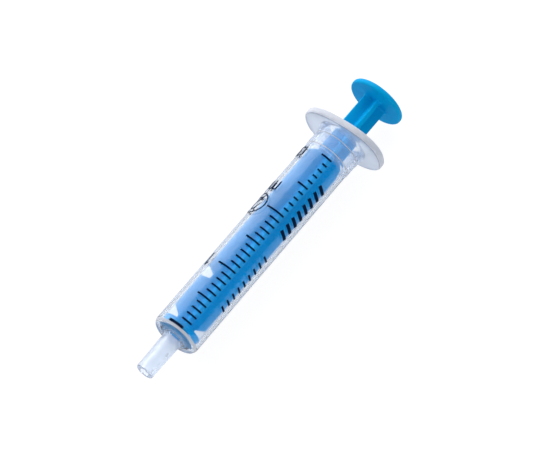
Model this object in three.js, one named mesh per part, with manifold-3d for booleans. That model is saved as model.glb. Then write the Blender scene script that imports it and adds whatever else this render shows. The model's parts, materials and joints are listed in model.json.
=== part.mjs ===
// A 2 mL disposable oral syringe with a slip tip, in two mouldings: a clear barrel and a one-piece plunger.
// Units are millimetres. The syringe lies along X with its tip towards -X and its thumb disc towards +X.
// The finger flange stands on the plane z = 0, long axis along Y, and the printed scale faces up, +Z.
// "Station" is a distance along the axis from the zero line, positive towards the thumb disc.
// "Turn" is an angle about the axis, in degrees from +Z towards -Y.
import * as THREE from "three";
import { mergeVertices } from "three/addons/utils/BufferGeometryUtils.js";
import Module from "manifold-3d";

const wasm = await Module();
wasm.setup();

// ---- Driving dimensions ----

// Scale: the bore follows from the length that 0.1 mL takes up.
const GRADUATION_PITCH = 1.61;
const GRADUATION_VOLUME = 100;
const GRADUATION_COUNT = 30;
const MAJOR_EVERY = 10;
const MEDIUM_EVERY = 5;
const NOMINAL_GRADUATION = 20;

// Barrel
const BORE_RADIUS = Math.sqrt(GRADUATION_VOLUME / (Math.PI * GRADUATION_PITCH));
const WALL = 0.86;
const BARREL_RADIUS = BORE_RADIUS + WALL;
const FRONT_FACE = -1.25;
const BORE_FLOOR = -0.65;
const BORE_FLOOR_RADIUS = 3.1;
const BORE_CONE_END = -0.12;
const FRONT_FILLET = 1.2;
const COLLAR_STEPS = [50.0, 53.0];
const COLLAR_RISE = 0.12;
const BEAD_CREST = 0.1;
const BEAD_LENGTH = 0.6;
const BEAD_HEIGHT = 0.15;
const FLANGE_FILLET = 0.5;
const MOUTH_CHAMFER = 0.35;

// Nozzle
const NOZZLE_END = -10.84;
const NOZZLE_END_RADIUS = 2.0;
const NOZZLE_BASE_RADIUS = 2.17;
const NOZZLE_RIM = 0.2;
const NOZZLE_COLLAR_RADIUS = 2.7;
const NOZZLE_COLLAR_HEIGHT = 0.3;
const LUMEN_END_RADIUS = 1.0;
const LUMEN_BASE_RADIUS = 1.12;
const FUNNEL_RADIUS = 1.5;
const FUNNEL_DEPTH = 0.35;

// Finger flange
const FLANGE_FRONT = 55.4;
const FLANGE_THICKNESS = 1.6;
const FLANGE_REAR = FLANGE_FRONT + FLANGE_THICKNESS;
const FLANGE_HALF_LENGTH = 9.9;
const FLANGE_HALF_WIDTH = 6.82;
const FLANGE_SQUARENESS = 2.35;
const FLANGE_EDGE = 0.3;

// Plunger
const HEAD_RADIUS = BORE_RADIUS - 0.036;
const HEAD_LENGTH = 1.3;
const HEAD_FRONT = -0.4;
const HEAD_FRONT_RADIUS = 3.3;
const NECK_RADIUS = 2.3;
const NECK_END = 3.1;
const RIB_RADIUS = 4.22;
const RIB_THICKNESS = 0.9;
const RIB_START = 4.3;
const RIB_END = 49.0;
const STEM_RADIUS = 2.85;
const LONG_TAPER_START = 47.6;
const LONG_TAPER_END = 50.3;
const LONG_TAPER_RADIUS = 3.75;
const NOTCH_CENTRE = 13.95;
const NOTCH_MOUTH = 3.0;
const NOTCH_BOTTOM = 1.4;
const NOTCH_DEPTH = 1.85;
const PLUNGER_TURN = 36;
const THUMB_FRONT = 66.6;
const THUMB_THICKNESS = 1.3;
const THUMB_RADIUS = 6.4;
const THUMB_EDGE = 0.45;
const THUMB_REAR = THUMB_FRONT + THUMB_THICKNESS;

// Print
const INK_GAP = 0.02;
const INK_THICKNESS = 0.04;
const INK_RADIUS = BARREL_RADIUS + INK_GAP;
const INK_STEP = 0.35;
const LINE_WIDTH = 0.42;
const ZERO_LINE_WIDTH = 0.62;
const LINE_START_TURN = 37;
const ZERO_START_TURN = 27.4;
const MINOR_LENGTH = 2.46;
const MEDIUM_LENGTH = 3.5;
const MAJOR_LENGTH = 4.4;
const EXTRA_MINOR_LENGTH = 1.22;
const EXTRA_MEDIUM_LENGTH = 2.6;
const FIGURE_TURN = -43;
const NOMINAL_TURN = -46.5;
const LAST_TURN = -48;
const FIGURE_STROKE = 0.4;
const FIGURE_HEIGHT = 3.3;
const RING_RADIUS = 2.7;
const RING_STROKE = 0.3;
const UNIT_STATION = 37.4;
const THREE_BEFORE_LINE = 1.05;
const THREE_SHARE = 0.38;
const MARK_TURN = 65.5;
const MARK_BARS = 8;
const MARK_START = 29.6;
const MARK_PITCH = 1.84;
const BAR_WIDTH = 0.85;
const DASH_WIDTH = 0.5;
const DASH_TURN = 71.5;
const DASHES = 9;
const DASH_START = 9.1;
const DASH_PITCH = 1.76;

// Roundness and resolution
const ROUND_SEGMENTS = 48;
const ARC_STEPS = 4;
const FLANGE_SEGMENTS = 64;

// Placing in the frame
const AXIS_HEIGHT = FLANGE_HALF_WIDTH;
const MIDDLE_STATION = (NOZZLE_END + THUMB_REAR) / 2;

const RAD = Math.PI / 180;

// ---- Materials ----

const barrelMaterial = new THREE.MeshStandardMaterial({
  color: 0xdde3ee,
  roughness: 0.25,
  metalness: 0,
  transparent: true,
  opacity: 0.4,
});
const plungerMaterial = new THREE.MeshStandardMaterial({ color: 0x0078c8, roughness: 0.35, metalness: 0 });
const inkMaterial = new THREE.MeshStandardMaterial({ color: 0x0a1c3a, roughness: 0.6, metalness: 0 });

// ---- Solids and geometries ----

// A closed geometry as a solid that can be joined and cut.
function solidOf(geometry) {
  const bare = geometry.clone();
  bare.deleteAttribute("normal");
  bare.deleteAttribute("uv");
  const merged = mergeVertices(bare, 1e-4);
  return new wasm.Manifold(
    new wasm.Mesh({
      numProp: 3,
      vertProperties: new Float32Array(merged.attributes.position.array),
      triVerts: new Uint32Array(merged.index.array),
    }),
  );
}

// A solid as a geometry with flat normals.
function geometryOf(solid) {
  const mesh = solid.getMesh();
  const geometry = new THREE.BufferGeometry();
  geometry.setAttribute("position", new THREE.BufferAttribute(mesh.vertProperties, 3));
  geometry.setIndex(new THREE.BufferAttribute(mesh.triVerts, 1));
  const flat = geometry.toNonIndexed();
  flat.computeVertexNormals();
  return flat;
}

function joined(geometries) {
  const solids = geometries.map(solidOf);
  return solids.reduce((whole, next) => whole.add(next));
}

// A body of revolution about the axis, from [station, radius] points.
function turned(profile) {
  const points = profile.map(([station, radius]) => new THREE.Vector2(radius, station));
  const geometry = new THREE.LatheGeometry(points, ROUND_SEGMENTS);
  return geometry.rotateZ(-Math.PI / 2);
}

// Points of a quarter round from one [station, radius] point to another, about a centre.
function arc(centre, radius, fromDegrees, toDegrees) {
  const points = [];
  for (let i = 0; i <= ARC_STEPS; i += 1) {
    const angle = (fromDegrees + ((toDegrees - fromDegrees) * i) / ARC_STEPS) * RAD;
    points.push([centre[0] + radius * Math.cos(angle), centre[1] + radius * Math.sin(angle)]);
  }
  return points;
}

// ---- Barrel ----

// The wall of the nozzle, front and tube, as one closed section.
// The bead inside the bore starts where the piston head stands at the last graduation.
function barrelSection() {
  const beadStart = GRADUATION_COUNT * GRADUATION_PITCH + HEAD_LENGTH;
  const collarRadius = (steps) => BARREL_RADIUS + steps * COLLAR_RISE;
  const outside = [
    [NOZZLE_END, NOZZLE_END_RADIUS - NOZZLE_RIM],
    ...arc([NOZZLE_END + NOZZLE_RIM, NOZZLE_END_RADIUS - NOZZLE_RIM], NOZZLE_RIM, 180, 90).slice(1),
    [FRONT_FACE - NOZZLE_COLLAR_HEIGHT, NOZZLE_BASE_RADIUS],
    [FRONT_FACE - NOZZLE_COLLAR_HEIGHT / 3, (NOZZLE_BASE_RADIUS + NOZZLE_COLLAR_RADIUS) / 2],
    [FRONT_FACE, NOZZLE_COLLAR_RADIUS],
    ...arc([FRONT_FACE + FRONT_FILLET, BARREL_RADIUS - FRONT_FILLET], FRONT_FILLET, 180, 90),
    [COLLAR_STEPS[0], collarRadius(0)],
    [COLLAR_STEPS[0] + COLLAR_RISE, collarRadius(1)],
    [COLLAR_STEPS[1], collarRadius(1)],
    [COLLAR_STEPS[1] + COLLAR_RISE, collarRadius(2)],
    ...arc([FLANGE_FRONT - FLANGE_FILLET, collarRadius(2) + FLANGE_FILLET], FLANGE_FILLET, -90, 0),
    [FLANGE_REAR, collarRadius(2) + FLANGE_FILLET],
  ];
  const inside = [
    [FLANGE_REAR, BORE_RADIUS + MOUTH_CHAMFER],
    [FLANGE_REAR - MOUTH_CHAMFER, BORE_RADIUS],
    [beadStart + BEAD_LENGTH, BORE_RADIUS],
    [beadStart + BEAD_CREST, BORE_RADIUS - BEAD_HEIGHT],
    [beadStart, BORE_RADIUS],
    [BORE_CONE_END, BORE_RADIUS],
    [BORE_FLOOR, BORE_FLOOR_RADIUS],
    [BORE_FLOOR, FUNNEL_RADIUS],
    [BORE_FLOOR - FUNNEL_DEPTH, LUMEN_BASE_RADIUS],
    [NOZZLE_END, LUMEN_END_RADIUS],
    [NOZZLE_END, NOZZLE_END_RADIUS - NOZZLE_RIM],
  ];
  return [...outside, ...inside];
}

// The oval plate under the fingers, cut out so that its hole ends inside the tube's wall.
function flangePlate() {
  const outline = new THREE.Shape();
  const halfLength = FLANGE_HALF_LENGTH - FLANGE_EDGE;
  const halfWidth = FLANGE_HALF_WIDTH - FLANGE_EDGE;
  const radiusAt = (angle) => {
    const across = Math.abs(Math.cos(angle)) / halfLength;
    const up = Math.abs(Math.sin(angle)) / halfWidth;
    return (across ** FLANGE_SQUARENESS + up ** FLANGE_SQUARENESS) ** (-1 / FLANGE_SQUARENESS);
  };
  // The corners start half a step round, so that the flange stands on a flat and not on a corner.
  const halfStep = Math.PI / FLANGE_SEGMENTS;
  const stretchUp = halfWidth / (radiusAt(Math.PI / 2 - halfStep) * Math.cos(halfStep));
  const stretchAcross = halfLength / (radiusAt(halfStep) * Math.cos(halfStep));
  for (let i = 0; i < FLANGE_SEGMENTS; i += 1) {
    const angle = (2 * i + 1) * halfStep;
    const up = radiusAt(angle) * Math.sin(angle) * stretchUp;
    const across = radiusAt(angle) * Math.cos(angle) * stretchAcross;
    if (i === 0) outline.moveTo(up, across);
    else outline.lineTo(up, across);
  }
  const plate = new THREE.ExtrudeGeometry(outline, {
    depth: FLANGE_THICKNESS - 2 * FLANGE_EDGE,
    bevelThickness: FLANGE_EDGE,
    bevelSize: FLANGE_EDGE,
    bevelSegments: 2,
  });
  plate.translate(0, 0, FLANGE_EDGE);
  plate.rotateY(Math.PI / 2);
  plate.translate(FLANGE_FRONT, 0, 0);
  const holeRadius = BORE_RADIUS + WALL / 2;
  const core = turned([
    [FLANGE_FRONT - FLANGE_THICKNESS, 0],
    [FLANGE_FRONT - FLANGE_THICKNESS, holeRadius],
    [FLANGE_REAR + FLANGE_THICKNESS, holeRadius],
    [FLANGE_REAR + FLANGE_THICKNESS, 0],
  ]);
  return solidOf(plate).subtract(solidOf(core));
}

function barrelGeometry() {
  return geometryOf(solidOf(turned(barrelSection())).add(flangePlate()));
}

// ---- Plunger ----

// The piston head: a short sealing land with a blunt cone in front of it.
function headSection() {
  return [
    [HEAD_FRONT, 0],
    [HEAD_FRONT, HEAD_FRONT_RADIUS],
    [0, HEAD_RADIUS],
    [HEAD_LENGTH, HEAD_RADIUS],
    [HEAD_LENGTH, 0],
  ];
}

function thumbSection() {
  const rim = THUMB_RADIUS - THUMB_EDGE;
  return [
    [THUMB_FRONT, 0],
    [THUMB_FRONT, rim],
    ...arc([THUMB_FRONT + THUMB_EDGE, rim], THUMB_EDGE, 180, 90).slice(1),
    ...arc([THUMB_REAR - THUMB_EDGE, rim], THUMB_EDGE, 90, 0),
    [THUMB_REAR, 0],
  ];
}

// One of the four ribs, as [station, radius] points from the head to the thumb disc.
function ribOutline({ notched, longTaper }) {
  const outline = [
    [HEAD_LENGTH / 2, NECK_RADIUS],
    [NECK_END, NECK_RADIUS],
    [RIB_START, RIB_RADIUS],
  ];
  if (notched) {
    outline.push(
      [NOTCH_CENTRE - NOTCH_MOUTH / 2, RIB_RADIUS],
      [NOTCH_CENTRE - NOTCH_BOTTOM / 2, RIB_RADIUS - NOTCH_DEPTH],
      [NOTCH_CENTRE + NOTCH_BOTTOM / 2, RIB_RADIUS - NOTCH_DEPTH],
      [NOTCH_CENTRE + NOTCH_MOUTH / 2, RIB_RADIUS],
    );
  }
  if (longTaper) {
    const shoulder = LONG_TAPER_END + LONG_TAPER_RADIUS - STEM_RADIUS;
    outline.push([LONG_TAPER_START, RIB_RADIUS], [LONG_TAPER_END, LONG_TAPER_RADIUS]);
    outline.push([shoulder, STEM_RADIUS]);
  } else {
    outline.push([RIB_END, RIB_RADIUS], [RIB_END + RIB_RADIUS - STEM_RADIUS, STEM_RADIUS]);
  }
  outline.push([THUMB_FRONT + THUMB_THICKNESS / 2, STEM_RADIUS]);
  return outline;
}

function rib(turn, form) {
  const outline = ribOutline(form);
  const shape = new THREE.Shape();
  shape.moveTo(outline[0][0], 0);
  outline.forEach(([station, radius]) => shape.lineTo(station, radius));
  shape.lineTo(outline.at(-1)[0], 0);
  shape.closePath();
  const plate = new THREE.ExtrudeGeometry(shape, { depth: RIB_THICKNESS, bevelEnabled: false });
  plate.translate(0, 0, -RIB_THICKNESS / 2);
  // The outline's radius runs along Y, so a quarter turn brings it to turn 0, which is +Z.
  return plate.rotateX(Math.PI / 2 + turn * RAD);
}

function plungerGeometry() {
  const ribs = [
    rib(PLUNGER_TURN, {}),
    rib(PLUNGER_TURN + 90, { longTaper: true }),
    rib(PLUNGER_TURN + 180, {}),
    rib(PLUNGER_TURN - 90, { notched: true }),
  ];
  return geometryOf(joined([turned(headSection()), turned(thumbSection()), ...ribs]));
}

// ---- Print ----

// A point on the print's inner or outer surface, from its station and its distance round the barrel.
function onBarrel(station, around, radius) {
  const angle = around / INK_RADIUS;
  return [station, -radius * Math.sin(angle), radius * Math.cos(angle)];
}

// Points between the given ones, no further apart than the print's step.
function subdivided(path, closed) {
  const points = [];
  const count = closed ? path.length : path.length - 1;
  for (let i = 0; i < count; i += 1) {
    const [a, b] = [path[i], path[(i + 1) % path.length]];
    const pieces = Math.max(1, Math.ceil(Math.hypot(b[0] - a[0], b[1] - a[1]) / INK_STEP));
    for (let k = 0; k < pieces; k += 1) {
      points.push([a[0] + ((b[0] - a[0]) * k) / pieces, a[1] + ((b[1] - a[1]) * k) / pieces]);
    }
  }
  if (!closed) points.push(path.at(-1));
  return points;
}

// A ribbon of ink along a path of [station, distance round] points.
function inkStroke(path, width, closed = false) {
  const points = subdivided(path, closed);
  const count = points.length;
  const corners = [];
  points.forEach((point, i) => {
    const before = points[closed ? (i + count - 1) % count : Math.max(0, i - 1)];
    const after = points[closed ? (i + 1) % count : Math.min(count - 1, i + 1)];
    const length = Math.hypot(after[0] - before[0], after[1] - before[1]);
    const side = [-(after[1] - before[1]) / length, (after[0] - before[0]) / length];
    for (const radius of [INK_RADIUS, INK_RADIUS + INK_THICKNESS]) {
      for (const half of [-width / 2, width / 2]) {
        corners.push(...onBarrel(point[0] + side[0] * half, point[1] + side[1] * half, radius));
      }
    }
  });
  const faces = [];
  const quad = (a, b, c, d) => faces.push(a, c, b, a, d, c);
  const spans = closed ? count : count - 1;
  for (let i = 0; i < spans; i += 1) {
    const a = 4 * i;
    const b = 4 * ((i + 1) % count);
    quad(a, a + 1, b + 1, b);
    quad(a + 2, b + 2, b + 3, a + 3);
    quad(a, b, b + 2, a + 2);
    quad(a + 1, a + 3, b + 3, b + 1);
  }
  if (!closed) {
    const last = 4 * (count - 1);
    quad(0, 2, 3, 1);
    quad(last, last + 1, last + 3, last + 2);
  }
  const geometry = new THREE.BufferGeometry();
  geometry.setAttribute("position", new THREE.Float32BufferAttribute(corners, 3));
  geometry.setIndex(faces);
  return solidOf(geometry);
}

// A figure from strokes drawn in its own plane: x to the reader's right, y up, in millimetres.
function figure(strokes, station, turn, width) {
  const centre = turn * RAD * INK_RADIUS;
  const solids = strokes.map((stroke) => {
    const path = stroke.points.map(([x, y]) => [station - y, centre - x]);
    return inkStroke(path, width, stroke.closed);
  });
  return geometryOf(solids.reduce((whole, next) => whole.add(next)));
}

// Points on an ellipse, in degrees from the reader's right, anticlockwise.
function curve(x, y, radiusX, radiusY, from, to, steps) {
  const points = [];
  for (let i = 0; i <= steps; i += 1) {
    const angle = (from + ((to - from) * i) / steps) * RAD;
    points.push([x + radiusX * Math.cos(angle), y + radiusY * Math.sin(angle)]);
  }
  return points;
}

function graduation(index) {
  const station = index * GRADUATION_PITCH;
  const beyond = index > NOMINAL_GRADUATION;
  let length = beyond ? EXTRA_MINOR_LENGTH : MINOR_LENGTH;
  if (index % MEDIUM_EVERY === 0) length = beyond ? EXTRA_MEDIUM_LENGTH : MEDIUM_LENGTH;
  if (index % MAJOR_EVERY === 0 && !beyond) length = MAJOR_LENGTH;
  let start = LINE_START_TURN * RAD * INK_RADIUS;
  let middle = station;
  let width = LINE_WIDTH;
  if (index === 0) {
    const cut = (LINE_START_TURN - ZERO_START_TURN) * RAD * INK_RADIUS;
    start -= cut;
    length -= cut;
    width = ZERO_LINE_WIDTH;
    middle -= (ZERO_LINE_WIDTH - LINE_WIDTH) / 2;
  }
  return geometryOf(inkStroke([[middle, start], [middle, start - length]], width));
}

const half = FIGURE_HEIGHT / 2;
const small = FIGURE_HEIGHT * THREE_SHARE;
const threeStation = GRADUATION_COUNT * GRADUATION_PITCH - THREE_BEFORE_LINE;
const FIGURES = {
  figure_1: {
    station: MAJOR_EVERY * GRADUATION_PITCH,
    strokes: [{ points: [[0.1, -half], [0.1, half]] }, { points: [[-0.65, half - 0.75], [0.1, half - 0.1]] }],
  },
  figure_2: {
    station: NOMINAL_GRADUATION * GRADUATION_PITCH,
    turn: NOMINAL_TURN,
    strokes: [
      { points: [...curve(0, half - 0.95, 0.95, 0.95, 165, -35, 12), [-1.0, -half + 0.15]] },
      { points: [[-1.1, -half + 0.12], [1.1, -half + 0.12]] },
    ],
  },
  figure_ring: {
    station: NOMINAL_GRADUATION * GRADUATION_PITCH,
    turn: NOMINAL_TURN,
    stroke: RING_STROKE,
    strokes: [{ points: curve(0, 0, RING_RADIUS, RING_RADIUS, 0, 345, 23), closed: true }],
  },
  unit_m: {
    station: UNIT_STATION,
    strokes: [
      { points: [[-1.75, -1.2], [-1.75, 1.15]] },
      { points: [[-0.5, -1.2], [-0.5, 0.6], ...curve(-1.125, 0.6, 0.625, 0.5, 0, 150, 6).slice(1)] },
      { points: [[0.75, -1.2], [0.75, 0.6], ...curve(0.125, 0.6, 0.625, 0.5, 0, 150, 6).slice(1)] },
    ],
  },
  unit_l: {
    station: UNIT_STATION,
    strokes: [{ points: [[1.8, -1.2], [1.8, 1.85]] }],
  },
  figure_3: {
    station: threeStation,
    turn: LAST_TURN,
    strokes: [
      { points: curve(0, small / 2, 0.6, small / 2, 160, -90, 10) },
      { points: curve(0, -small / 2, 0.68, small / 2, 90, -160, 10) },
    ],
  },
  bracket_left: {
    station: threeStation,
    turn: LAST_TURN,
    strokes: [{ points: curve(-0.75, 0, 0.55, 1.5, 120, 240, 8) }],
  },
  bracket_right: {
    station: threeStation,
    turn: LAST_TURN,
    strokes: [{ points: curve(0.75, 0, 0.55, 1.5, 60, -60, 8) }],
  },
};

// A slanted bar and a slanted dash of the plain decorative marks.
const BAR_STROKES = [{ points: [[-1.15, 0.32], [1.15, -0.32]] }];
const DASH_STROKES = [{ points: [[-0.75, 0.13], [0.75, -0.13]] }];

// ---- Assembly ----

const syringe = new THREE.Group();
syringe.name = "oral_syringe";
syringe.position.set(-MIDDLE_STATION, 0, AXIS_HEIGHT);

function add(name, geometry, material) {
  const mesh = new THREE.Mesh(geometry, material);
  mesh.name = name;
  syringe.add(mesh);
}

function two(number) {
  return String(number).padStart(2, "0");
}

add("barrel", barrelGeometry(), barrelMaterial);
add("plunger", plungerGeometry(), plungerMaterial);
for (let i = 0; i <= GRADUATION_COUNT; i += 1) {
  add("line_" + two(i), graduation(i), inkMaterial.clone());
}
for (const [name, { station, strokes, turn, stroke }] of Object.entries(FIGURES)) {
  const shape = figure(strokes, station, turn ?? FIGURE_TURN, stroke ?? FIGURE_STROKE);
  add(name, shape, inkMaterial.clone());
}
for (let i = 0; i < MARK_BARS; i += 1) {
  const bar = figure(BAR_STROKES, MARK_START + i * MARK_PITCH, MARK_TURN, BAR_WIDTH);
  add("mark_bar_" + two(i + 1), bar, inkMaterial.clone());
}
for (let i = 0; i < DASHES; i += 1) {
  const dash = figure(DASH_STROKES, DASH_START + i * DASH_PITCH, DASH_TURN, DASH_WIDTH);
  add("mark_dash_" + two(i + 1), dash, inkMaterial.clone());
}

export default syringe;
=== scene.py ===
"""The looks of a 2 mL disposable oral syringe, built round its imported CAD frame.

The frame is in metres: the syringe lies along X, tip towards -X, and its finger flange stands on z = 0.
Shapes are drawn in millimetres. "Station" is a distance along the axis from the zero line, positive
towards the thumb disc. "Turn" is an angle about the axis, in degrees from +Z towards -Y.
"""

import json
import math

import bmesh
import bpy
from mathutils import Matrix, Vector


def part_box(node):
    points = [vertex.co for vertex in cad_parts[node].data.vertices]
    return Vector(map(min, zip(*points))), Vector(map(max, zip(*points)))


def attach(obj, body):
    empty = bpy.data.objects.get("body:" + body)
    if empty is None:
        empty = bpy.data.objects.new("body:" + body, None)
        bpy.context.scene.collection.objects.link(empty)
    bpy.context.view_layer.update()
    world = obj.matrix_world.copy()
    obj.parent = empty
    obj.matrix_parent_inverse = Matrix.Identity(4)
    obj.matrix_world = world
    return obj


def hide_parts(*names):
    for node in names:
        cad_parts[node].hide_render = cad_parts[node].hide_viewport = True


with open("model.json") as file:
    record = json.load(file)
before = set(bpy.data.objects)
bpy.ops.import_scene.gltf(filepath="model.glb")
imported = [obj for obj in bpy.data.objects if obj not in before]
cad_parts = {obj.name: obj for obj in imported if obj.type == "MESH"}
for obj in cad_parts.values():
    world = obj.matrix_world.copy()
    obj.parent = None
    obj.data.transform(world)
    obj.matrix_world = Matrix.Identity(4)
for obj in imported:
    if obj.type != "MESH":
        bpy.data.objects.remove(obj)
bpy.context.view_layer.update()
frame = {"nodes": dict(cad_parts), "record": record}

MM = 0.001


# ---- Places that the frame gives ----


def middle(node):
    low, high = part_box(node)
    return (low + high) / 2


PITCH = (middle("line_20").x - middle("line_10").x) / 10 / MM
ZERO_X = middle("line_10").x / MM - 10 * PITCH
AXIS_Z = middle("plunger").z / MM


def station_of(x):
    return x / MM - ZERO_X


NOZZLE_END = station_of(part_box("barrel")[0].x)
FLANGE_REAR = station_of(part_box("barrel")[1].x)
FLANGE_HALF_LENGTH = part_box("barrel")[1].y / MM
FLANGE_HALF_WIDTH = AXIS_Z
HEAD_FRONT = station_of(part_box("plunger")[0].x)
THUMB_REAR = station_of(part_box("plunger")[1].x)
THUMB_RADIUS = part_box("plunger")[1].z / MM - AXIS_Z
LAST_LINE = station_of(middle("line_30").x)


# ---- Driving dimensions, in millimetres ----

# Barrel
BORE_RADIUS = 4.446
WALL = 0.86
BARREL_RADIUS = BORE_RADIUS + WALL
FRONT_FACE = -1.25
FRONT_FILLET = 1.2
BORE_FLOOR = -0.65
BORE_FLOOR_RADIUS = 3.1
BORE_CONE_END = -0.12
COLLARS = (50.0, 53.0)
COLLAR_RISE = 0.12
HEAD_LENGTH = 1.3
BEAD_LENGTH = 0.6
BEAD_CREST = 0.1
BEAD_HEIGHT = 0.15
BEAD_FRONT_EDGE = 0.02
BEAD_CREST_EDGE = 0.05
BORE_EDGE = 0.1
COLLAR_EDGE = 0.05
MOUTH_CHAMFER = 0.35
MOUTH_EDGE = 0.12

# Nozzle
NOZZLE_END_RADIUS = 2.0
NOZZLE_BASE_RADIUS = 2.17
NOZZLE_COLLAR_RADIUS = 2.7
NOZZLE_COLLAR_HEIGHT = 0.3
LUMEN_END_RADIUS = 1.0
LUMEN_BASE_RADIUS = 1.12
FUNNEL_RADIUS = 1.5
FUNNEL_DEPTH = 0.35
LUMEN_EDGE = 0.08
TIP_EDGE = 0.2
NOZZLE_ROOT_FILLET = 0.25
NOZZLE_COLLAR_EDGE = 0.12

# Finger flange
FLANGE_THICKNESS = 1.6
FLANGE_FRONT = FLANGE_REAR - FLANGE_THICKNESS
FLANGE_SQUARENESS = 2.35
FLANGE_EDGE = 0.45
FLANGE_FILLET = 0.5

# Plunger head and neck
HEAD_RADIUS = 4.41
HEAD_FRONT_RADIUS = 3.3
HEAD_FRONT_EDGE = 0.3
HEAD_REAR_EDGE = 0.1
LIP_LENGTH = 0.45
LIP_GROOVE = 0.16
LIP_EDGE = 0.08
NECK_RADIUS = 2.3
NECK_END = 3.1
NECK_BEND = 0.5

# Plunger ribs and stem
RIB_START = 4.3
RIB_START_BEND = 0.4
RIB_RADIUS = 4.22
RIB_END = 49.0
RIB_END_BEND = 0.3
RIB_THICKNESS = 0.9
STEM_RADIUS = 2.85
STEM_BEND = 0.4
LONG_TAPER_START = 47.6
LONG_TAPER_START_BEND = 2
LONG_TAPER_END = 50.3
LONG_TAPER_END_BEND = 0.3
LONG_TAPER_RADIUS = 3.75
NOTCH_CENTRE = 13.95
NOTCH_MOUTH = 3.0
NOTCH_MOUTH_BEND = 0.25
NOTCH_BOTTOM = 1.4
NOTCH_BOTTOM_BEND = 0.4
NOTCH_DEPTH = 1.85
PLUNGER_TURN = 36

# Thumb disc
THUMB_THICKNESS = 1.3
THUMB_FRONT = THUMB_REAR - THUMB_THICKNESS
THUMB_EDGE = 0.5
GATE_RADIUS = 0.7
GATE_DEPTH = 0.12
GATE_EDGE = 0.08
GATE_FLOOR_EDGE = 0.06

# Resolution: segments round the axis, steps in a fillet, and the gaps between rings, in millimetres
ROUND_SEGMENTS = 192
FILLET_STEPS = 6
BARREL_RING_GAP = 2.5
RIB_RING_GAP = 2
STATION_DIGITS = 4

# The longest side of a fillet is just under half of the edge it is cut from.
EDGE_SHARES = 2.01

# Edges that turn by more than this many degrees stay crisp.
CREASE_ANGLE = 32

# Vertices nearer than this many millimetres are one.
WELD_DISTANCE = 1e-4


# ---- Outlines ----


def rounded(corners, closed=False):
    """A line through [x, y, fillet radius] corners, with an arc of that radius at each corner."""
    path = []
    for i, (x, y, radius) in enumerate(corners):
        here = Vector((x, y))
        inner = closed or 0 < i < len(corners) - 1
        if radius == 0 or not inner:
            path.append(here)
            continue
        back = Vector(corners[i - 1][:2]) - here
        ahead = Vector(corners[(i + 1) % len(corners)][:2]) - here
        half = back.angle(ahead) / 2
        reach = min(radius / math.tan(half), back.length / EDGE_SHARES, ahead.length / EDGE_SHARES)
        back.normalize()
        ahead.normalize()
        centre = here + (back + ahead).normalized() * (reach / math.cos(half))
        first = here + back * reach - centre
        sweep = first.angle_signed(here + ahead * reach - centre)
        for k in range(FILLET_STEPS + 1):
            path.append(centre + Matrix.Rotation(-sweep * k / FILLET_STEPS, 2) @ first)
    return path


def along(path, gap):
    """The same path with no two points further apart than the gap."""
    points = [path[0]]
    for end in path[1:]:
        start = points[-1]
        pieces = max(1, math.ceil((end - start).length / gap))
        points += [start.lerp(end, (k + 1) / pieces) for k in range(pieces)]
    return points


def height_at(path, x):
    """The y of a left-to-right path at x."""
    for start, end in zip(path, path[1:]):
        if start.x <= x <= end.x and end.x > start.x:
            return start.y + (end.y - start.y) * (x - start.x) / (end.x - start.x)
    return path[0].y if x < path[0].x else path[-1].y


# ---- Meshes ----


def at(station, radius, turn):
    """A point in millimetres in the frame's axes, with the turn in radians."""
    return Vector((ZERO_X + station, -radius * math.sin(turn), AXIS_Z + radius * math.cos(turn)))


def soften(bm):
    """Smooth shading, with the sharp edges kept crisp."""
    limit = math.radians(CREASE_ANGLE)
    for face in bm.faces:
        face.smooth = True
    for edge in bm.edges:
        edge.smooth = len(edge.link_faces) == 2 and edge.calc_face_angle(0) < limit


def mesh_from(bm, name):
    """A mesh in metres from a bmesh in millimetres."""
    bmesh.ops.recalc_face_normals(bm, faces=bm.faces)
    soften(bm)
    mesh = bpy.data.meshes.new(name)
    bm.to_mesh(mesh)
    bm.free()
    mesh.transform(Matrix.Scale(MM, 4))
    return mesh


def show(name, mesh):
    piece = bpy.data.objects.new(name, mesh)
    bpy.context.scene.collection.objects.link(piece)
    return piece


def ring_of(bm, station, radius_at):
    """A ring of vertices about the axis, or one vertex where the radius is zero."""
    if radius_at(0) == 0:
        return [bm.verts.new(at(station, 0, 0))]
    turns = [2 * math.pi * i / ROUND_SEGMENTS for i in range(ROUND_SEGMENTS)]
    return [bm.verts.new(at(station, radius_at(turn), turn)) for turn in turns]


def bridge(bm, one, two):
    """Faces between two rings, either of which may be a single point."""
    count = max(len(one), len(two))
    for i in range(count):
        j = (i + 1) % count
        corners = [one[i % len(one)], one[j % len(one)], two[j % len(two)], two[i % len(two)]]
        bm.faces.new(list(dict.fromkeys(corners)))


def revolved(path, closed, spread=None):
    """A bmesh turned about the axis from a path of (station, radius) points.

    Where it is given, spread(radius, turn) is the radius that stands for a path's radius at a turn.
    """
    bm = bmesh.new()
    rings = []
    for point in path:
        rings.append(
            ring_of(bm, point.x, lambda turn, r=point.y: spread(r, turn) if spread else r)
        )
    for one, two in zip(rings, rings[1:]):
        bridge(bm, one, two)
    if closed:
        bridge(bm, rings[-1], rings[0])
    return bm


# ---- Barrel ----

COLLAR_RADIUS = BARREL_RADIUS + 2 * COLLAR_RISE
FLANGE_ROOT = COLLAR_RADIUS + FLANGE_FILLET

# How far the painted highlight, a pale frosted band, reaches past the edge of a collar step, how far inside
# the tube's surface it counts as the outside, and the slant along the axis from which a face of the flange
# belongs to its front or rear.
PAINTED_HIGHLIGHT_REACH = 0.12
SKIN = 0.01
FLANGE_FACE_SLANT = 0.9
# The stations of the shoulder's painted highlight: a pale frosted band where its fillet shows a bright ring
# of light.
SHOULDER_PAINTED_HIGHLIGHT = (FRONT_FACE + 0.3, FRONT_FACE + 0.95)


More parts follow.
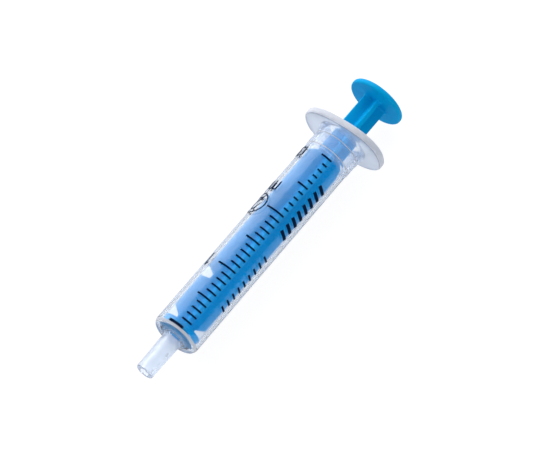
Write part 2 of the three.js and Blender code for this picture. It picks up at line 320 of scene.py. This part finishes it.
def flange_outline(turn):
    """The oval flange's radius at a turn."""
    across = abs(math.sin(turn)) / FLANGE_HALF_LENGTH
    up = abs(math.cos(turn)) / FLANGE_HALF_WIDTH
    total = across**FLANGE_SQUARENESS + up**FLANGE_SQUARENESS
    return total ** (-1 / FLANGE_SQUARENESS)


def flange_spread(radius, turn):
    """Spreads a round flange of the oval's smaller radius out to the oval."""
    if radius <= FLANGE_ROOT:
        return radius
    rim = FLANGE_HALF_WIDTH - FLANGE_EDGE
    if radius >= rim:
        return flange_outline(turn) - (FLANGE_HALF_WIDTH - radius)
    share = (radius - FLANGE_ROOT) / (rim - FLANGE_ROOT)
    return FLANGE_ROOT + share * (flange_outline(turn) - FLANGE_EDGE - FLANGE_ROOT)


def barrel_path():
    """The closed section of the wall: outside from the tip to the flange, then back along the bore."""
    bead = LAST_LINE + HEAD_LENGTH
    nozzle_neck = FRONT_FACE - NOZZLE_COLLAR_HEIGHT
    corners = [
        (NOZZLE_END, LUMEN_END_RADIUS, LUMEN_EDGE),
        (NOZZLE_END, NOZZLE_END_RADIUS, TIP_EDGE),
        (nozzle_neck, NOZZLE_BASE_RADIUS, NOZZLE_ROOT_FILLET),
        (FRONT_FACE, NOZZLE_COLLAR_RADIUS, NOZZLE_COLLAR_EDGE),
        (FRONT_FACE, BARREL_RADIUS, FRONT_FILLET),
        (COLLARS[0], BARREL_RADIUS, COLLAR_EDGE),
        (COLLARS[0] + COLLAR_RISE, BARREL_RADIUS + COLLAR_RISE, COLLAR_EDGE),
        (COLLARS[1], BARREL_RADIUS + COLLAR_RISE, COLLAR_EDGE),
        (COLLARS[1] + COLLAR_RISE, COLLAR_RADIUS, COLLAR_EDGE),
        (FLANGE_FRONT, COLLAR_RADIUS, FLANGE_FILLET),
        (FLANGE_FRONT, FLANGE_HALF_WIDTH, FLANGE_EDGE),
        (FLANGE_REAR, FLANGE_HALF_WIDTH, FLANGE_EDGE),
        (FLANGE_REAR, BORE_RADIUS + MOUTH_CHAMFER, MOUTH_EDGE),
        (FLANGE_REAR - MOUTH_CHAMFER, BORE_RADIUS, MOUTH_EDGE),
        (bead + BEAD_LENGTH, BORE_RADIUS, BORE_EDGE),
        (bead + BEAD_CREST, BORE_RADIUS - BEAD_HEIGHT, BEAD_CREST_EDGE),
        (bead, BORE_RADIUS, BEAD_FRONT_EDGE),
        (BORE_CONE_END, BORE_RADIUS, BORE_EDGE),
        (BORE_FLOOR, BORE_FLOOR_RADIUS, BORE_EDGE),
        (BORE_FLOOR, FUNNEL_RADIUS, BORE_EDGE),
        (BORE_FLOOR - FUNNEL_DEPTH, LUMEN_BASE_RADIUS, BORE_EDGE),
    ]
    return rounded(corners, closed=True)


def is_frosted_or_painted_highlight(face):
    """The flange's rim is frosted by the mould. The shoulder and the edges of the two collar steps get the
    same pale frosting as a painted highlight, for the bright rings that their curves catch.
    """
    station = station_of(face.center.x)
    away = math.hypot(face.center.y, face.center.z - AXIS_Z * MM) / MM
    if station > FLANGE_FRONT:
        return away > FLANGE_ROOT and abs(face.normal.x) < FLANGE_FACE_SLANT
    # The outer half of the shoulder is painted highlight, a pale band for the bright ring of its fillet.
    if SHOULDER_PAINTED_HIGHLIGHT[0] < station < SHOULDER_PAINTED_HIGHLIGHT[1]:
        return away > BORE_RADIUS + WALL / 2
    if away < BARREL_RADIUS - SKIN:
        return False
    # The edges of the collar steps are painted highlight, pale bands for the bright lines that the steps
    # catch.
    return any(-PAINTED_HIGHLIGHT_REACH < station - step < COLLAR_RISE + PAINTED_HIGHLIGHT_REACH for step in COLLARS)


def make_barrel():
    bm = revolved(along(barrel_path(), BARREL_RING_GAP), closed=True, spread=flange_spread)
    barrel = show("clear_barrel_shell", mesh_from(bm, "clear_barrel_shell"))
    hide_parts("barrel")
    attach(barrel, "barrel")
    barrel.data.materials.append(milky_plastic("milky_polypropylene", frosted_or_highlight=False))
    barrel.data.materials.append(milky_plastic("frosted_and_painted_highlight_polypropylene", frosted_or_highlight=True))
    # The flange's frosted rim and the painted highlight bands on the shoulder and the collar steps take the
    # second material.
    for face in barrel.data.polygons:
        face.material_index = int(is_frosted_or_painted_highlight(face))


# ---- Plunger ----

RIB_ROOT_FILLET = 0.28
RIB_TIP_FILLET = 0.12
END_FILLET = 0.45
NECK_FILLET = 0.3
CORNER_STEPS = 4


def rib_path(notched=False, long_taper=False):
    """A rib's edge as (station, radius) points, from inside the head to inside the thumb disc."""
    corners = [
        (HEAD_LENGTH / 2, NECK_RADIUS, 0),
        (NECK_END, NECK_RADIUS, NECK_BEND),
        (RIB_START, RIB_RADIUS, RIB_START_BEND),
    ]
    if notched:
        floor = RIB_RADIUS - NOTCH_DEPTH
        corners += [
            (NOTCH_CENTRE - NOTCH_MOUTH / 2, RIB_RADIUS, NOTCH_MOUTH_BEND),
            (NOTCH_CENTRE - NOTCH_BOTTOM / 2, floor, NOTCH_BOTTOM_BEND),
            (NOTCH_CENTRE + NOTCH_BOTTOM / 2, floor, NOTCH_BOTTOM_BEND),
            (NOTCH_CENTRE + NOTCH_MOUTH / 2, RIB_RADIUS, NOTCH_MOUTH_BEND),
        ]
    if long_taper:
        end = LONG_TAPER_END + LONG_TAPER_RADIUS - STEM_RADIUS
        corners.append((LONG_TAPER_START, RIB_RADIUS, LONG_TAPER_START_BEND))
        corners.append((LONG_TAPER_END, LONG_TAPER_RADIUS, LONG_TAPER_END_BEND))
        corners.append((end, STEM_RADIUS, STEM_BEND))
    else:
        corners.append((RIB_END, RIB_RADIUS, RIB_END_BEND))
        corners.append((RIB_END + RIB_RADIUS - STEM_RADIUS, STEM_RADIUS, STEM_BEND))
    corners.append(((THUMB_FRONT + THUMB_REAR) / 2, STEM_RADIUS, 0))
    return rounded(corners)


def flare(station):
    """How far the ribs widen where they run into the head and the thumb disc."""
    into_disc = station - (THUMB_FRONT - END_FILLET)
    into_head = (HEAD_LENGTH + NECK_FILLET) - station
    widen = 0
    for depth, radius in ((into_disc, END_FILLET), (into_head, NECK_FILLET)):
        if depth > 0:
            widen = radius - math.sqrt(max(0, radius**2 - min(depth, radius) ** 2))
    return widen


def cross_section(radii, widen):
    """The section of four ribs as points in the plane across the axis, first rib along +x."""
    half = RIB_THICKNESS / 2 + widen
    points = []
    for k, radius in enumerate(radii):
        turned = Matrix.Rotation(k * math.pi / 2, 2)
        quarter = half + RIB_ROOT_FILLET
        outer = radius + widen
        arm = []
        for x, y, side in ((outer, -half, -1), (outer, half, 1)):
            centre = Vector((x - RIB_TIP_FILLET, y - side * RIB_TIP_FILLET))
            for i in range(CORNER_STEPS):
                angle = math.pi / 2 * i / (CORNER_STEPS - 1)
                angle = angle if side > 0 else angle - math.pi / 2
                arm.append(centre + RIB_TIP_FILLET * Vector((math.cos(angle), math.sin(angle))))
        centre = Vector((quarter, quarter))
        for i in range(CORNER_STEPS + 1):
            angle = -math.pi / 2 - math.pi / 2 * i / CORNER_STEPS
            arm.append(centre + RIB_ROOT_FILLET * Vector((math.cos(angle), math.sin(angle))))
        points += [turned @ point for point in arm]
    return points


def ribs_bmesh():
    edges = [rib_path(), rib_path(long_taper=True), rib_path(), rib_path(notched=True)]
    ends = (HEAD_LENGTH / 2, (THUMB_FRONT + THUMB_REAR) / 2)
    stations = {round(point.x, STATION_DIGITS) for edge in edges for point in edge}
    shares = [1 - k / FILLET_STEPS for k in range(FILLET_STEPS + 1)]
    fillets = [THUMB_FRONT - END_FILLET * share for share in shares]
    fillets += [HEAD_LENGTH + NECK_FILLET * share for share in shares]
    stations |= {round(station, STATION_DIGITS) for station in fillets}
    stations |= {float(s) for s in range(math.ceil(ends[0]), math.ceil(ends[1]), RIB_RING_GAP)}
    bm = bmesh.new()
    rings = []
    for station in sorted(stations):
        radii = [height_at(edge, station) for edge in edges]
        ring = []
        for point in cross_section(radii, flare(station)):
            turn = math.radians(PLUNGER_TURN) + math.atan2(point.y, point.x)
            ring.append(bm.verts.new(at(station, point.length, turn)))
        rings.append(ring)
    for one, two in zip(rings, rings[1:]):
        bridge(bm, one, two)
    bm.faces.new(rings[0])
    bm.faces.new(rings[-1])
    return bm


def head_path():
    """The piston head: a blunt cone, then two sealing lips with a shallow groove between them."""
    groove = HEAD_RADIUS - LIP_GROOVE
    return rounded(
        [
            (HEAD_FRONT, 0, 0),
            (HEAD_FRONT, HEAD_FRONT_RADIUS, HEAD_FRONT_EDGE),
            (0, HEAD_RADIUS, LIP_EDGE),
            (LIP_LENGTH, HEAD_RADIUS, LIP_EDGE),
            (LIP_LENGTH + LIP_GROOVE / 2, groove, LIP_EDGE),
            (HEAD_LENGTH - LIP_LENGTH + LIP_GROOVE / 2, groove, LIP_EDGE),
            (HEAD_LENGTH - LIP_LENGTH + LIP_GROOVE, HEAD_RADIUS, LIP_EDGE),
            (HEAD_LENGTH, HEAD_RADIUS, HEAD_REAR_EDGE),
            (HEAD_LENGTH, 0, 0),
        ]
    )


def thumb_path():
    """The thumb disc, with a small sunk gate mark in the middle of its rear face."""
    return rounded(
        [
            (THUMB_FRONT, 0, 0),
            (THUMB_FRONT, THUMB_RADIUS, THUMB_EDGE),
            (THUMB_REAR, THUMB_RADIUS, THUMB_EDGE),
            (THUMB_REAR, GATE_RADIUS, GATE_EDGE),
            (THUMB_REAR - GATE_DEPTH, GATE_RADIUS - GATE_DEPTH, GATE_FLOOR_EDGE),
            (THUMB_REAR - GATE_DEPTH, 0, 0),
        ]
    )


def united(name, bmeshes):
    """One closed mesh from overlapping ones."""
    objects = []
    for i, bm in enumerate(bmeshes):
        bmesh.ops.recalc_face_normals(bm, faces=bm.faces)
        mesh = bpy.data.meshes.new(f"{name}_{i}")
        bm.to_mesh(mesh)
        bm.free()
        objects.append(show(f"{name}_{i}", mesh))
    whole = objects[0]
    for other in objects[1:]:
        join = whole.modifiers.new("join", "BOOLEAN")
        join.operation = "UNION"
        join.solver = "EXACT"
        join.object = other
    bpy.context.view_layer.update()
    evaluated = whole.evaluated_get(bpy.context.evaluated_depsgraph_get())
    shape = bpy.data.meshes.new_from_object(evaluated)
    for part in objects:
        bpy.data.objects.remove(part)
    bm = bmesh.new()
    bm.from_mesh(shape)
    bmesh.ops.remove_doubles(bm, verts=bm.verts, dist=WELD_DISTANCE)
    return bm


def make_plunger():
    parts = [revolved(head_path(), closed=False), revolved(thumb_path(), closed=False), ribs_bmesh()]
    plunger = show("ribbed_plunger", mesh_from(united("ribbed_plunger", parts), "ribbed_plunger"))
    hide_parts("plunger")
    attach(plunger, "plunger")
    plunger.data.materials.append(blue_plastic())


# ---- Materials ----

# A noise is given as (scale, detail, stretch); bump depths are in metres.
PLAIN_DETAIL = 3
UNSTRETCHED = (1, 1, 1)
NOISE_RANGE = (0.3, 0.7)

# Natural polypropylene
CLEAR_COLOUR = (0.89, 0.92, 0.96, 1)
CLEAR_IOR = 1.49
CLEAR_ROUGHNESS = (0.02, 0.07)
CLEAR_ROUGHNESS_NOISE = (900, PLAIN_DETAIL, UNSTRETCHED)
DRAWN_LINES_NOISE = (500, 2, (0.15, 1, 1))
DRAWN_LINES_DEPTH = 0.000004
SHADOW_COLOUR = (0.93, 0.94, 0.97, 1)
ABSORPTION_COLOUR = (0.35, 0.53, 0.75, 1)
ABSORPTION = 120.0

# The haze in it is a share of the light that is refracted roughly.
HAZE_COLOUR = (0.94, 0.96, 0.98, 1)
HAZE_ROUGHNESS = 0.4
HAZE = (0.03, 0.09)
HAZE_NOISE = (120, PLAIN_DETAIL, UNSTRETCHED)

# The veil on it is a share of pale light, scattered back or let through, which grows at grazing angles,
# from (facing, share) stops, as far as (station, share) stops let it, and has its own (station, share) stops.
PALE = (0.79, 0.82, 0.88, 1)
BACK_LIT = 0.5
GRAZING_SCATTER = ((0.54, 0.0), (0.74, 0.55))
GRAZING_REACH = ((FRONT_FACE - 0.1, 0.4), (FRONT_FACE + 1.5, 1.0))
SCATTER = (
    (FRONT_FACE - 0.5, 0.25),
    (FRONT_FACE - 0.1, 0.0),
    (LAST_LINE + 0.3, 0.0),
    (LAST_LINE + 0.6, 0.12),
    (FLANGE_FRONT - 1.2, 0.12),
    (FLANGE_FRONT - 0.3, 0.25),
)

# Where the mould frosts it, and in the painted highlight bands on the shoulder and the collar steps, the veil
# is even and thick.
FROSTED_AND_HIGHLIGHT_PALE = (0.93, 0.95, 1.0, 1)
FROSTED_AND_HIGHLIGHT_BACK_LIT = 0.35
FROST_AND_HIGHLIGHT = (0.67, 0.83)
FROST_AND_HIGHLIGHT_NOISE = (300, PLAIN_DETAIL, UNSTRETCHED)

# Blue polyethylene
BLUES = ((0.0, 0.325, 0.67), (0.0, 0.345, 0.71))
BLUE_NOISE = (160, 4, UNSTRETCHED)
BLUE_SPECULAR = 0.05
BLUE_ROUGHNESS = (0.3, 0.42)
BLUE_ROUGHNESS_NOISE = (700, PLAIN_DETAIL, UNSTRETCHED)
FLOW_MARKS_NOISE = (900, PLAIN_DETAIL, (0.2, 1, 1))
FLOW_MARKS_DEPTH = 0.00002

# Ink
NAVIES = ((0.002, 0.008, 0.028), (0.006, 0.016, 0.045))
INK_NOISE = (2500, PLAIN_DETAIL, UNSTRETCHED)
INK_ROUGHNESS = (0.4, 0.6)
INK_ROUGHNESS_NOISE = (1800, PLAIN_DETAIL, UNSTRETCHED)
INK_GRAIN_NOISE = (4000, PLAIN_DETAIL, UNSTRETCHED)
INK_GRAIN_DEPTH = 0.000005


def new_material(name):
    material = bpy.data.materials.new(name)
    material.use_nodes = True
    tree = material.node_tree
    return material, tree, tree.nodes["Principled BSDF"]


def noise(tree, scale, detail, stretch):
    """Noise fixed to the object, finer with a larger scale and drawn out along an axis by a small factor."""
    coordinates = tree.nodes.new("ShaderNodeTexCoord")
    mapping = tree.nodes.new("ShaderNodeMapping")
    mapping.inputs["Scale"].default_value = stretch
    texture = tree.nodes.new("ShaderNodeTexNoise")
    texture.inputs["Scale"].default_value = scale
    texture.inputs["Detail"].default_value = detail
    tree.links.new(coordinates.outputs["Object"], mapping.inputs["Vector"])
    tree.links.new(mapping.outputs["Vector"], texture.inputs["Vector"])
    return texture.outputs["Fac"]


def ramp(tree, value, low, high):
    """A noise brought to the range from low to high."""
    node = tree.nodes.new("ShaderNodeMapRange")
    node.inputs["From Min"].default_value, node.inputs["From Max"].default_value = NOISE_RANGE
    node.inputs["To Min"].default_value = low
    node.inputs["To Max"].default_value = high
    tree.links.new(value, node.inputs["Value"])
    return node.outputs["Result"]


def blended(tree, value, one, two):
    """A colour between two colours, by a noise."""
    node = tree.nodes.new("ShaderNodeMix")
    node.data_type = "RGBA"
    node.inputs["A"].default_value = (*one, 1)
    node.inputs["B"].default_value = (*two, 1)
    tree.links.new(ramp(tree, value, 0, 1), node.inputs["Factor"])
    return node.outputs["Result"]


def bumped(tree, value, depth, shader):
    """Gives the shader relief of that depth in metres."""
    node = tree.nodes.new("ShaderNodeBump")
    node.inputs["Strength"].default_value = 1
    node.inputs["Distance"].default_value = depth
    tree.links.new(value, node.inputs["Height"])
    tree.links.new(node.outputs["Normal"], shader.inputs["Normal"])


def spread_from(tree, value, start, end, stops):
    """A value that changes through (place, value) stops, which lie between the start and the end."""
    reach = tree.nodes.new("ShaderNodeMapRange")
    reach.inputs["From Min"].default_value = start
    reach.inputs["From Max"].default_value = end
    tree.links.new(value, reach.inputs["Value"])
    values = tree.nodes.new("ShaderNodeValToRGB")
    elements = values.color_ramp.elements
    for i, (place, level) in enumerate(stops):
        position = (place - start) / (end - start)
        stop = elements[i] if i < 2 else elements.new(position)
        stop.position = position
        stop.color = (level, level, level, 1)
    tree.links.new(reach.outputs["Result"], values.inputs["Fac"])
    return values.outputs["Color"]


def by_station(tree, stops):
    """A value that changes along the barrel, from (station, value) stops."""
    coordinates = tree.nodes.new("ShaderNodeTexCoord")
    split = tree.nodes.new("ShaderNodeSeparateXYZ")
    tree.links.new(coordinates.outputs["Object"], split.inputs["Vector"])
    places = [((ZERO_X + station) * MM, value) for station, value in stops]
    start, end = (ZERO_X + NOZZLE_END) * MM, (ZERO_X + FLANGE_REAR) * MM
    return spread_from(tree, split.outputs["X"], start, end, places)


def combined(tree, operation, one, two):
    """Two values joined by a Math operation."""
    node = tree.nodes.new("ShaderNodeMath")
    node.operation = operation
    tree.links.new(one, node.inputs[0])
    tree.links.new(two, node.inputs[1])
    return node.outputs["Value"]


def mixed(tree, share, one, two):
    """The first shader with a share of the second."""
    node = tree.nodes.new("ShaderNodeMixShader")
    tree.links.new(share, node.inputs["Fac"])
    tree.links.new(one, node.inputs[1])
    tree.links.new(two, node.inputs[2])
    return node.outputs["Shader"]


def milky_plastic(name, frosted_or_highlight):
    """Natural polypropylene: clear, with a faint haze, a veil on its surface and a tint in thick places."""
    material, tree, clear = new_material(name)
    clear.inputs["Base Color"].default_value = CLEAR_COLOUR
    clear.inputs["Transmission Weight"].default_value = 1
    clear.inputs["IOR"].default_value = CLEAR_IOR
    roughness = ramp(tree, noise(tree, *CLEAR_ROUGHNESS_NOISE), *CLEAR_ROUGHNESS)
    tree.links.new(roughness, clear.inputs["Roughness"])
    bumped(tree, noise(tree, *DRAWN_LINES_NOISE), DRAWN_LINES_DEPTH, clear)
    hazy = tree.nodes.new("ShaderNodeBsdfRefraction")
    hazy.inputs["Color"].default_value = HAZE_COLOUR
    hazy.inputs["IOR"].default_value = CLEAR_IOR
    hazy.inputs["Roughness"].default_value = HAZE_ROUGHNESS
    near = tree.nodes.new("ShaderNodeBsdfDiffuse")
    far = tree.nodes.new("ShaderNodeBsdfTranslucent")
    pale = tree.nodes.new("ShaderNodeMixShader")
    pale.inputs["Fac"].default_value = FROSTED_AND_HIGHLIGHT_BACK_LIT if frosted_or_highlight else BACK_LIT
    for i, shader in enumerate((near, far)):
        shader.inputs["Color"].default_value = FROSTED_AND_HIGHLIGHT_PALE if frosted_or_highlight else PALE
        tree.links.new(shader.outputs["BSDF"], pale.inputs[i + 1])
    through = tree.nodes.new("ShaderNodeBsdfTransparent")
    through.inputs["Color"].default_value = SHADOW_COLOUR
    rays = tree.nodes.new("ShaderNodeLightPath")
    haze = ramp(tree, noise(tree, *HAZE_NOISE), *HAZE)
    body = mixed(tree, haze, clear.outputs["BSDF"], hazy.outputs["BSDF"])
    # The frosted veil also serves as painted highlight on the shoulder and the collar steps.
    if frosted_or_highlight:
        scatter = ramp(tree, noise(tree, *FROST_AND_HIGHLIGHT_NOISE), *FROST_AND_HIGHLIGHT)
    else:
        weight = tree.nodes.new("ShaderNodeLayerWeight")
        grazing = spread_from(tree, weight.outputs["Facing"], 0, 1, GRAZING_SCATTER)
        grazing = combined(tree, "MULTIPLY", grazing, by_station(tree, GRAZING_REACH))
        scatter = combined(tree, "ADD", grazing, by_station(tree, SCATTER))
    body = mixed(tree, scatter, body, pale.outputs["Shader"])
    body = mixed(tree, rays.outputs["Is Shadow Ray"], body, through.outputs["BSDF"])
    tree.links.new(body, tree.nodes["Material Output"].inputs["Surface"])
    depth = tree.nodes.new("ShaderNodeVolumeAbsorption")
    depth.inputs["Color"].default_value = ABSORPTION_COLOUR
    depth.inputs["Density"].default_value = ABSORPTION
    tree.links.new(depth.outputs["Volume"], tree.nodes["Material Output"].inputs["Volume"])
    return material


def blue_plastic():
    """Satin moulded polyethylene, with faint flow marks along its length."""
    material, tree, shader = new_material("blue_polyethylene")
    colour = blended(tree, noise(tree, *BLUE_NOISE), *BLUES)
    tree.links.new(colour, shader.inputs["Base Color"])
    shader.inputs["Specular IOR Level"].default_value = BLUE_SPECULAR
    roughness = ramp(tree, noise(tree, *BLUE_ROUGHNESS_NOISE), *BLUE_ROUGHNESS)
    tree.links.new(roughness, shader.inputs["Roughness"])
    bumped(tree, noise(tree, *FLOW_MARKS_NOISE), FLOW_MARKS_DEPTH, shader)
    return material


def print_ink():
    """Matt navy ink, a little uneven."""
    material, tree, shader = new_material("navy_ink")
    colour = blended(tree, noise(tree, *INK_NOISE), *NAVIES)
    tree.links.new(colour, shader.inputs["Base Color"])
    shader.inputs["Specular IOR Level"].default_value = 0
    roughness = ramp(tree, noise(tree, *INK_ROUGHNESS_NOISE), *INK_ROUGHNESS)
    tree.links.new(roughness, shader.inputs["Roughness"])
    bumped(tree, noise(tree, *INK_GRAIN_NOISE), INK_GRAIN_DEPTH, shader)
    return material


def paint_ink():
    """Gives every node of the print its ink."""
    ink = print_ink()
    for subpart in frame["record"]["subparts"]:
        if subpart["material_slot"] == "print_ink":
            node = frame["nodes"][subpart["node"]]
            node.data.materials.clear()
            node.data.materials.append(ink)
            for face in node.data.polygons:
                face.material_index = 0


# ---- Studio ----

# The floor's size and its drop below z = 0, in metres. It glows so that it reads white, and less in mirrors.
FLOOR_SIZE = 4.0
FLOOR_DROP = 0.00002
FLOOR_COLOUR = (0.12, 0.12, 0.12, 1)
FLOOR_GLOW = 0.93
FLOOR_GLOW_MIRRORED = 0.12

# The sky's brightness, as (direction, value) stops along Y and along X, and as the camera sees it.
SKY_ACROSS = ((-1, 0.0), (-0.8, 0.05), (-0.4, 0.45), (0.1, 0.7), (0.5, 1.1), (1, 1.4))
SKY_ALONG = ((-0.6, 0.5), (0.1, 0.55), (0.35, 1.6), (1, 2.2))
SKY_SEEN = 1

# Name, turn and tilt in degrees, distance and size in metres, radiance
SOFTBOXES = (
    ("side_softbox", -50, -18, 0.7, 0.7, 1.0),
    ("upper_softbox", -30, 12, 0.8, 0.3, 7.5),
    ("lower_softbox", 74, 12, 0.8, 0.3, 6.5),
)


def make_floor():
    floor_mesh = bpy.data.meshes.new("floor")
    half = FLOOR_SIZE / 2
    corners = [(-half, -half, 0), (half, -half, 0), (half, half, 0), (-half, half, 0)]
    floor_mesh.from_pydata(corners, [], [(0, 1, 2, 3)])
    floor = show("floor", floor_mesh)
    floor.location.z = -FLOOR_DROP
    material, tree, shader = new_material("pale_floor")
    shader.inputs["Base Color"].default_value = FLOOR_COLOUR
    shader.inputs["Roughness"].default_value = 1
    shader.inputs["Specular IOR Level"].default_value = 0
    shader.inputs["Emission Color"].default_value = (1, 1, 1, 1)
    rays = tree.nodes.new("ShaderNodeLightPath")
    glow = tree.nodes.new("ShaderNodeMix")
    glow.inputs["A"].default_value = FLOOR_GLOW
    glow.inputs["B"].default_value = FLOOR_GLOW_MIRRORED
    reflected, diffused = rays.outputs["Is Reflection Ray"], rays.outputs["Is Diffuse Ray"]
    mirrored = combined(tree, "SUBTRACT", reflected, diffused)
    tree.links.new(mirrored, glow.inputs["Factor"])
    tree.links.new(glow.outputs["Result"], shader.inputs["Emission Strength"])
    floor_mesh.materials.append(material)


def softbox(name, turn, tilt, distance, size, radiance):
    """A square area light aimed at the syringe, from a turn about its axis and a tilt towards the tip."""
    light = bpy.data.lights.new(name, "AREA")
    light.size = size
    light.energy = radiance * math.pi * size**2
    lamp = bpy.data.objects.new(name, light)
    turn, tilt = math.radians(turn), math.radians(tilt)
    side = Vector((0, -math.sin(turn), math.cos(turn)))
    direction = side * math.cos(tilt) - Vector((1, 0, 0)) * math.sin(tilt)
    lamp.location = Vector((0, 0, AXIS_Z * MM)) + direction * distance
    lamp.rotation_mode = "QUATERNION"
    lamp.rotation_quaternion = direction.to_track_quat("Z", "Y")
    bpy.context.scene.collection.objects.link(lamp)


def make_lights():
    world = bpy.data.worlds.new("studio")
    world.use_nodes = True
    tree = world.node_tree
    coordinates = tree.nodes.new("ShaderNodeTexCoord")
    split = tree.nodes.new("ShaderNodeSeparateXYZ")
    tree.links.new(coordinates.outputs["Generated"], split.inputs["Vector"])
    across = spread_from(tree, split.outputs["Y"], -1, 1, SKY_ACROSS)
    along_axis = spread_from(tree, split.outputs["X"], -1, 1, SKY_ALONG)
    brightness = combined(tree, "MULTIPLY", across, along_axis)
    rays = tree.nodes.new("ShaderNodeLightPath")
    plain = tree.nodes.new("ShaderNodeMix")
    plain.inputs["B"].default_value = SKY_SEEN
    tree.links.new(rays.outputs["Is Camera Ray"], plain.inputs["Factor"])
    tree.links.new(brightness, plain.inputs["A"])
    tree.links.new(plain.outputs["Result"], tree.nodes["Background"].inputs["Strength"])
    tree.nodes["Background"].inputs["Color"].default_value = (1, 1, 1, 1)
    bpy.context.scene.world = world
    for values in SOFTBOXES:
        softbox(*values)
    bpy.context.scene.view_settings.view_transform = "Standard"


# The camera stands over one station of the axis, turned about the axis and tilted towards the tip,
# and looks a little to the right of that station and above it. Angles are in degrees, lengths in
# millimetres, and the width is what the frame takes in at the camera's distance.
CAMERA_STATION = 16.1
CAMERA_TURN = 26.0
CAMERA_TILT = 19.5
CAMERA_ROLL = 49.34
CAMERA_DISTANCE = 900.0
CAMERA_AIM_RIGHT = 9.0
CAMERA_AIM_UP = 10.62
FRAME_WIDTH_THERE = 110.46
SENSOR_WIDTH = 36.0
CLIP_START = 0.01


def make_camera():
    turn, tilt = math.radians(CAMERA_TURN), math.radians(CAMERA_TILT)
    axis = Vector((1, 0, 0))
    facing = Vector((0, -math.sin(turn), math.cos(turn)))
    across = Vector((0, -math.cos(turn), -math.sin(turn)))
    backward = facing * math.cos(tilt) - axis * math.sin(tilt)
    uphill = axis * math.cos(tilt) + facing * math.sin(tilt)
    roll = math.radians(CAMERA_ROLL)
    right = uphill * math.cos(roll) + across * math.sin(roll)
    up = uphill * math.sin(roll) - across * math.cos(roll)
    over = at(CAMERA_STATION, 0, 0)
    place = over + backward * CAMERA_DISTANCE
    aim = over + right * CAMERA_AIM_RIGHT + up * CAMERA_AIM_UP
    forward = (aim - place).normalized()
    right = (right - forward * right.dot(forward)).normalized()
    up = right.cross(forward)
    data = bpy.data.cameras.new("photo_camera")
    data.sensor_width = SENSOR_WIDTH
    data.lens = SENSOR_WIDTH * CAMERA_DISTANCE / FRAME_WIDTH_THERE
    data.clip_start = CLIP_START
    camera = bpy.data.objects.new("photo_camera", data)
    facing_aim = Matrix((right, up, -forward)).transposed().to_4x4()
    camera.matrix_world = Matrix.Translation(place * MM) @ facing_aim
    bpy.context.scene.collection.objects.link(camera)
    bpy.context.scene.camera = camera


make_camera()
make_barrel()
make_plunger()
paint_ink()
make_floor()
make_lights()
